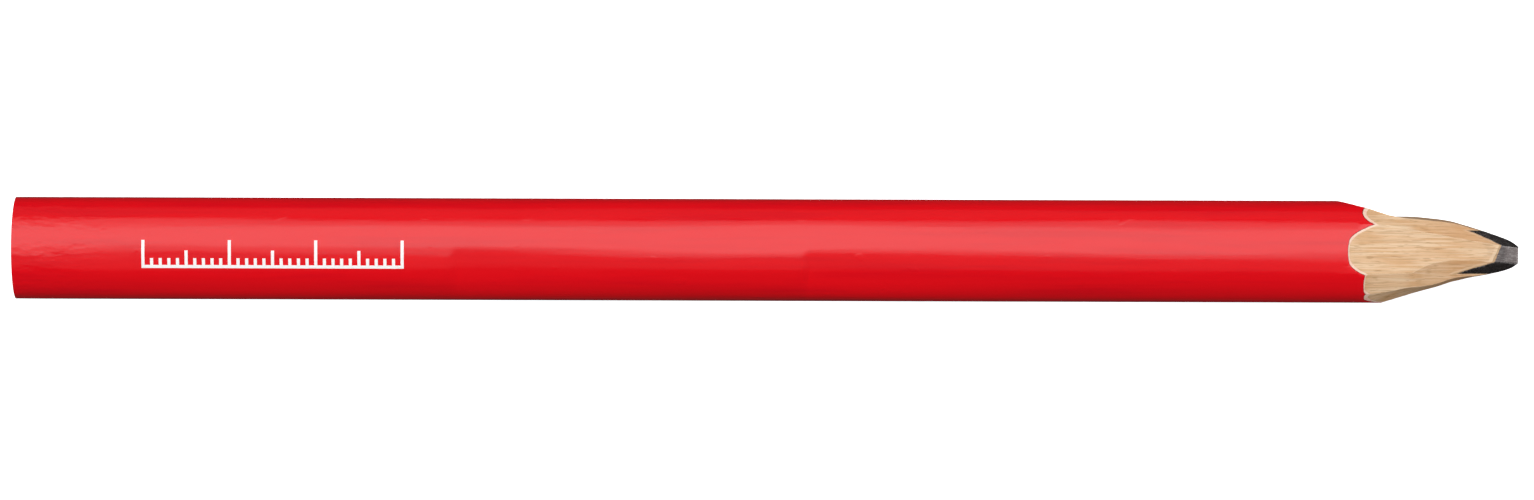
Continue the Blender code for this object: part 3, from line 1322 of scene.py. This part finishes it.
@dataclass(frozen=True)
class Studio:
    """A white light table, soft overhead light and a camera straight above."""

    panels: tuple[Panel, ...] = (
        Panel("soft_box", 19.5, 0.0, 0.92, 1.70, 0.94, 1.15),
        Panel("soft_box_heart", 17.5, 0.0, 0.91, 1.66, 0.56, 1.15),
        Panel("low_reflector", -18.0, 0.0, 0.93, 1.40, 0.38, 0.26),
        Panel("far_reflector", 64.0, 0.0, 0.93, 1.40, 0.40, 0.20),
        Panel("butt_side_box", 0.0, -56.0, 1.30, 0.85, 0.85, 2.35),
        Panel("point_side_box", 0.0, 56.0, 1.30, 0.85, 0.85, 2.35),
    )
    room_light: float = 0.06
    table_glow: float = 0.85
    table_size: float = 6.0
    table_greys: tuple[float, float] = (0.93, 0.95)
    camera_height: float = 0.509
    view_width: float = 0.17879
    view_roll: float = 0.178
    sensor: float = 36.0

    def floor(self) -> None:
        """Lay the white table, which glows softly and throws nothing on the pencil."""
        Bench.clear()
        bpy.ops.mesh.primitive_plane_add(size=self.table_size, location=(0.0, 0.0, 0.0))
        floor = bpy.context.object
        floor.name = "studio_floor"
        board = Board("white_floor")
        paper = board.noise(board.stretch((40.0, 40.0, 40.0)), 2.0)
        dark, pale = ((grey, grey, grey) for grey in self.table_greys)
        board.feed(board.tint(paper, dark, pale), "Base Color")
        board.set(Roughness=0.9, Specular_IOR_Level=0.0, Emission_Strength=self.table_glow)
        board.shader.inputs["Emission Color"].default_value = (1.0, 1.0, 1.0, 1.0)
        floor.data.materials.append(board.material)
        floor.visible_glossy = False
        floor.visible_diffuse = False

    def lamp(self, panel: Panel) -> None:
        """Hang one soft panel so that it faces the pencil.

        Args:
            panel: Its size, place and brightness.
        """
        light = bpy.data.lights.new(panel.name, "AREA")
        light.shape = "RECTANGLE"
        light.size = panel.length
        light.size_y = panel.breadth
        light.energy = panel.brightness * math.pi * panel.length * panel.breadth
        lamp = bpy.data.objects.new(panel.name, light)
        bpy.context.scene.collection.objects.link(lamp)
        side, tip = math.radians(panel.side), math.radians(panel.tip)
        reach = panel.distance * math.cos(tip)
        lamp.location = (
            panel.distance * math.sin(tip), reach * math.sin(side), reach * math.cos(side)
        )
        lamp.rotation_euler = (-side, tip, 0.0)

    def lights(self) -> None:
        """Hang the lights and fill the room softly."""
        for panel in self.panels:
            self.lamp(panel)
        world = bpy.data.worlds.new("studio_room")
        bpy.context.scene.world = world
        world.use_nodes = True
        room = world.node_tree.nodes["Background"]
        room.inputs["Color"].default_value = (1.0, 1.0, 1.0, 1.0)
        room.inputs["Strength"].default_value = self.room_light

    def camera(self) -> None:
        """Stand the camera straight above the pencil."""
        lens = bpy.data.cameras.new("studio_camera")
        lens.sensor_width = self.sensor
        middle = AXIS_HEIGHT * MM
        lens.lens = self.sensor * self.camera_height / self.view_width
        lens.clip_start = 0.01
        lens.clip_end = 20.0
        camera = bpy.data.objects.new("studio_camera", lens)
        bpy.context.scene.collection.objects.link(camera)
        camera.location = (0.0, 0.0, self.camera_height + middle)
        camera.rotation_euler = (0.0, 0.0, math.radians(self.view_roll))
        bpy.context.scene.camera = camera

    def set_up(self) -> None:
        """Set up floor, lights, camera and the picture's tone."""
        self.floor()
        self.lights()
        self.camera()
        bpy.context.scene.view_settings.view_transform = "Standard"


def main() -> None:
    """Build the pencil and its studio."""
    logging.basicConfig(level=logging.INFO, format="%(name)s %(message)s")
    Pencil().build()
    Studio().set_up()


if __name__ == "__main__":
    main()
